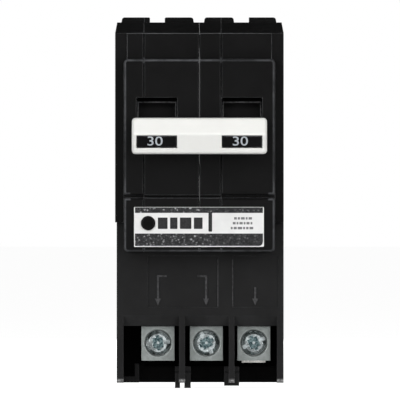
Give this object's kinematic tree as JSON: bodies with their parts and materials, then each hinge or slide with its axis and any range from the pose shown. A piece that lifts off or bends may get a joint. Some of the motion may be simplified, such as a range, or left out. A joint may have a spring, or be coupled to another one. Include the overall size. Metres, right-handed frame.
{
  "type": "ground-fault circuit breaker",
  "caption": "Plug-on two-pole ground-fault circuit breaker: joined rocker handles with white tie bar, test button, rating label and open box-lug load terminals.",
  "frame": {"origin": "on the back plane, midway across the case, level with the load end of the case", "axes": "+X across the poles to the right seen from the front, -Y towards the front where the handles are, +Z from the load end to the line end"},
  "size_m": [0.0504, 0.0681, 0.1114],
  "materials": {
    "case_black": "moulded thermoset, fine matt grain",
    "rivet_steel": "rolled, dull plated",
    "handle_black": "smooth moulded",
    "tie_white": "smooth moulded, soft gloss",
    "label_film": "printed film",
    "copper": "bare copper, slightly dulled",
    "contact_silver": "silver alloy button",
    "plated_steel": "zinc plated sheet",
    "arc_steel": "bare steel sheet",
    "spring_steel": "drawn wire",
    "bimetal_strip": "rolled strip",
    "zinc_collar": "clear zinc plate, tumbled",
    "screw_steel": "bright zinc plate",
    "board_green": "solder mask",
    "epoxy_black": "moulded epoxy",
    "can_blue": "sleeved can",
    "disc_blue": "dipped coating",
    "core_coating": "epoxy coated ring",
    "coil_tape": "wound coil under tape",
    "lead_black": "extruded insulation",
    "lead_red": "extruded insulation",
    "lead_white": "extruded insulation"
  },
  "bodies": {
    "case": {"left_pole_cover": "case_black", "left_pole_base": "case_black", "right_pole_cover": "case_black", "right_pole_base": "case_black", "case_rivets": "rivet_steel", "module_housing": "case_black", "module_rear_cover": "case_black", "module_rivets": "rivet_steel", "front_label": "label_film", "left_line_jaw": "copper", "right_line_jaw": "copper", "jaw_springs": "spring_steel", "arc_plates": "arc_steel", "fixed_contacts": "contact_silver", "cradle_pins": "plated_steel", "calibration_screws": "plated_steel", "bimetals": "bimetal_strip", "left_magnet_yoke": "plated_steel", "right_magnet_yoke": "plated_steel", "left_load_strap": "copper", "right_load_strap": "copper", "left_braid": "copper", "right_braid": "copper", "circuit_board": "board_green", "control_chip": "epoxy_black", "filter_capacitors": "can_blue", "surge_varistor": "disc_blue", "fault_sensor_core": "core_coating", "neutral_sensor_core": "core_coating", "solenoid_coil": "coil_tape", "solenoid_frame": "plated_steel", "plunger_spring": "spring_steel", "test_spring": "spring_steel", "left_load_lead": "lead_black", "right_load_lead": "lead_red", "neutral_lead": "lead_white", "terminal_tongues": "plated_steel", "lug_collars": "zinc_collar"},
    "handle": {"left_handle": "handle_black", "right_handle": "handle_black", "handle_tie": "tie_white"},
    "left_arm": {"left_contact_arm": "copper", "left_moving_contact": "contact_silver"},
    "right_arm": {"right_contact_arm": "copper", "right_moving_contact": "contact_silver"},
    "left_cradle_lever": {"left_cradle": "plated_steel", "left_toggle_spring": "spring_steel"},
    "right_cradle_lever": {"right_cradle": "plated_steel", "right_toggle_spring": "spring_steel"},
    "left_armature_plate": {"left_armature": "plated_steel"},
    "right_armature_plate": {"right_armature": "plated_steel"},
    "trip_shaft": {"trip_bar": "handle_black"},
    "plunger": {"solenoid_plunger": "plated_steel"},
    "button": {"test_button": "handle_black"},
    "left_pad": {"left_pressure_pad": "zinc_collar"},
    "left_screw": {"left_lug_screw": "screw_steel"},
    "neutral_pad": {"neutral_pressure_pad": "zinc_collar"},
    "neutral_screw": {"neutral_lug_screw": "screw_steel"},
    "right_pad": {"right_pressure_pad": "zinc_collar"},
    "right_screw": {"right_lug_screw": "screw_steel"}
  },
  "joints": [
    {"name": "handle_swing", "type": "hinge", "parent": "case", "child": "handle", "pos_m": [0, -0.044, 0.078], "axis": [-1, 0, 0], "range_deg": [0, 31]},
    {"name": "left_arm_swing", "type": "hinge", "parent": "handle", "child": "left_arm", "pos_m": [-0.0127, -0.03658, 0.08006], "axis": [1, 0, 0], "range_deg": [0, 59], "deforming": ["left_toggle_spring", "left_braid"]},
    {"name": "right_arm_swing", "type": "hinge", "parent": "handle", "child": "right_arm", "pos_m": [0.0127, -0.03658, 0.08006], "axis": [1, 0, 0], "range_deg": [0, 59], "deforming": ["right_toggle_spring", "right_braid"]},
    {"name": "plunger_slide", "type": "slide", "parent": "case", "child": "plunger", "axis": [0, 0, -1], "range_m": [0, 0.0025], "stiffness_N_per_m": 300, "springref_m": -0.001, "deforming": ["plunger_spring"]},
    {"name": "trip_bar_turn", "type": "hinge", "parent": "case", "child": "trip_shaft", "pos_m": [0, -0.012, 0.064], "axis": [1, 0, 0], "range_deg": [0, 14.1]},
    {"name": "left_armature_tilt", "type": "hinge", "parent": "case", "child": "left_armature_plate", "pos_m": [-0.0127, -0.0442, 0.0584], "axis": [-1, 0, 0], "range_deg": [0, 3.3]},
    {"name": "left_cradle_release", "type": "hinge", "parent": "case", "child": "left_cradle_lever", "pos_m": [-0.0127, -0.043, 0.0975], "axis": [1, 0, 0], "range_deg": [0, 20.1]},
    {"name": "right_armature_tilt", "type": "hinge", "parent": "case", "child": "right_armature_plate", "pos_m": [0.0127, -0.0442, 0.0584], "axis": [-1, 0, 0], "range_deg": [0, 3.3]},
    {"name": "right_cradle_release", "type": "hinge", "parent": "case", "child": "right_cradle_lever", "pos_m": [0.0127, -0.043, 0.0975], "axis": [1, 0, 0], "range_deg": [0, 20.1]},
    {"name": "test_button_press", "type": "slide", "parent": "case", "child": "button", "axis": [0, 1, 0], "range_m": [0, 0.0015], "stiffness_N_per_m": 400, "springref_m": -0.001, "deforming": ["test_spring"]},
    {"name": "left_pad_press", "type": "slide", "parent": "case", "child": "left_pad", "axis": [0, 1, 0], "range_m": [0, 0.0032]},
    {"name": "left_screw_turn", "type": "hinge", "parent": "left_pad", "child": "left_screw", "pos_m": [-0.0124, -0.04, 0.0119], "axis": [0, 1, 0], "range_deg": [0, 1440]},
    {"name": "neutral_pad_press", "type": "slide", "parent": "case", "child": "neutral_pad", "axis": [0, 1, 0], "range_m": [0, 0.0032]},
    {"name": "neutral_screw_turn", "type": "hinge", "parent": "neutral_pad", "child": "neutral_screw", "pos_m": [0.0021, -0.04, 0.0119], "axis": [0, 1, 0], "range_deg": [0, 1440]},
    {"name": "right_pad_press", "type": "slide", "parent": "case", "child": "right_pad", "axis": [0, 1, 0], "range_m": [0, 0.0032]},
    {"name": "right_screw_turn", "type": "hinge", "parent": "right_pad", "child": "right_screw", "pos_m": [0.0163, -0.04, 0.0119], "axis": [0, 1, 0], "range_deg": [0, 1440]}
  ],
  "couplings": [
    {"joint": "left_arm_swing", "follows": "handle_swing", "ratio": 1.9032},
    {"joint": "right_arm_swing", "follows": "handle_swing", "ratio": 1.9032},
    {"joint": "trip_bar_turn", "follows": "plunger_slide", "rad_per_m": 97.7},
    {"joint": "left_armature_tilt", "follows": "plunger_slide", "rad_per_m": 22.3},
    {"joint": "left_cradle_release", "follows": "plunger_slide", "rad_per_m": 139.6},
    {"joint": "right_armature_tilt", "follows": "plunger_slide", "rad_per_m": 22.3},
    {"joint": "right_cradle_release", "follows": "plunger_slide", "rad_per_m": 139.6},
    {"joint": "left_screw_turn", "follows": "left_pad_press", "rad_per_m": 7854},
    {"joint": "neutral_screw_turn", "follows": "neutral_pad_press", "rad_per_m": 7854},
    {"joint": "right_screw_turn", "follows": "right_pad_press", "rad_per_m": 7854}
  ]
}
